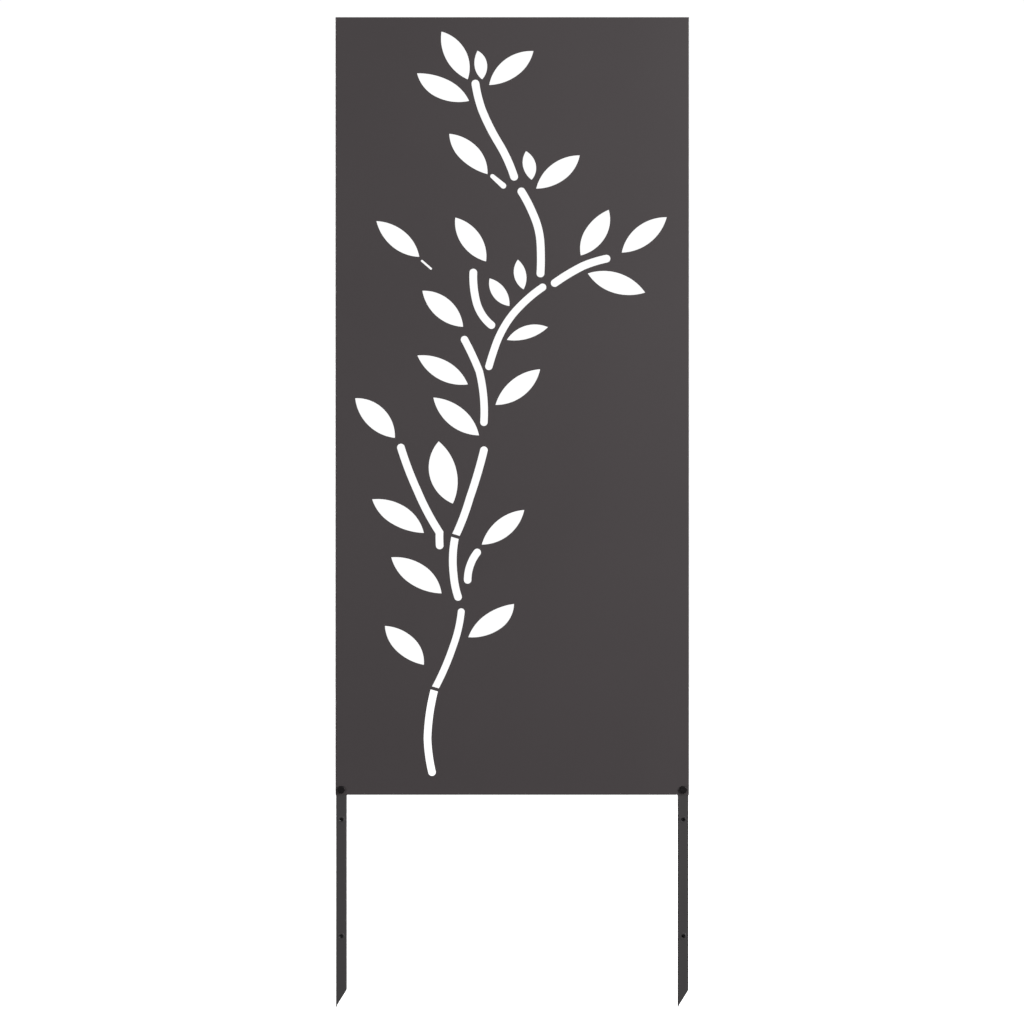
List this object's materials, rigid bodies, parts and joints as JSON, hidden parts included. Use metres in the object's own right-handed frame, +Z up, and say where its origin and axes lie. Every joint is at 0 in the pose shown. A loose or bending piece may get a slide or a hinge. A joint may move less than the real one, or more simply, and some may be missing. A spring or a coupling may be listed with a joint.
{
  "type": "garden privacy screen",
  "caption": "Tall folded steel privacy screen with a laser cut leafy branch, bolted to two square tube stakes that are pushed into the ground.",
  "frame": {"origin": "at ground level, halfway between the two stakes' own axes, where the panel's lower edge meets the soil", "axes": "+Z up along the screen's height, -Y the way its front faces, +X to the right as seen from the front"},
  "size_m": [0.5, 0.021, 1.4],
  "materials": {
    "panel_coat": "satin anthracite powder coat",
    "stake_coat": "satin anthracite powder coat",
    "black_steel": "black zinc plating",
    "zinc_steel": "bright zinc plating"
  },
  "bodies": {
    "root": {"panel": "panel_coat", "stake_left": "stake_coat", "stake_right": "stake_coat", "bolt_left": "black_steel", "bolt_right": "black_steel", "rivet_nut_left_top": "zinc_steel", "rivet_nut_left_middle": "zinc_steel", "rivet_nut_left_bottom": "zinc_steel", "rivet_nut_right_top": "zinc_steel", "rivet_nut_right_middle": "zinc_steel", "rivet_nut_right_bottom": "zinc_steel"}
  },
  "joints": []
}
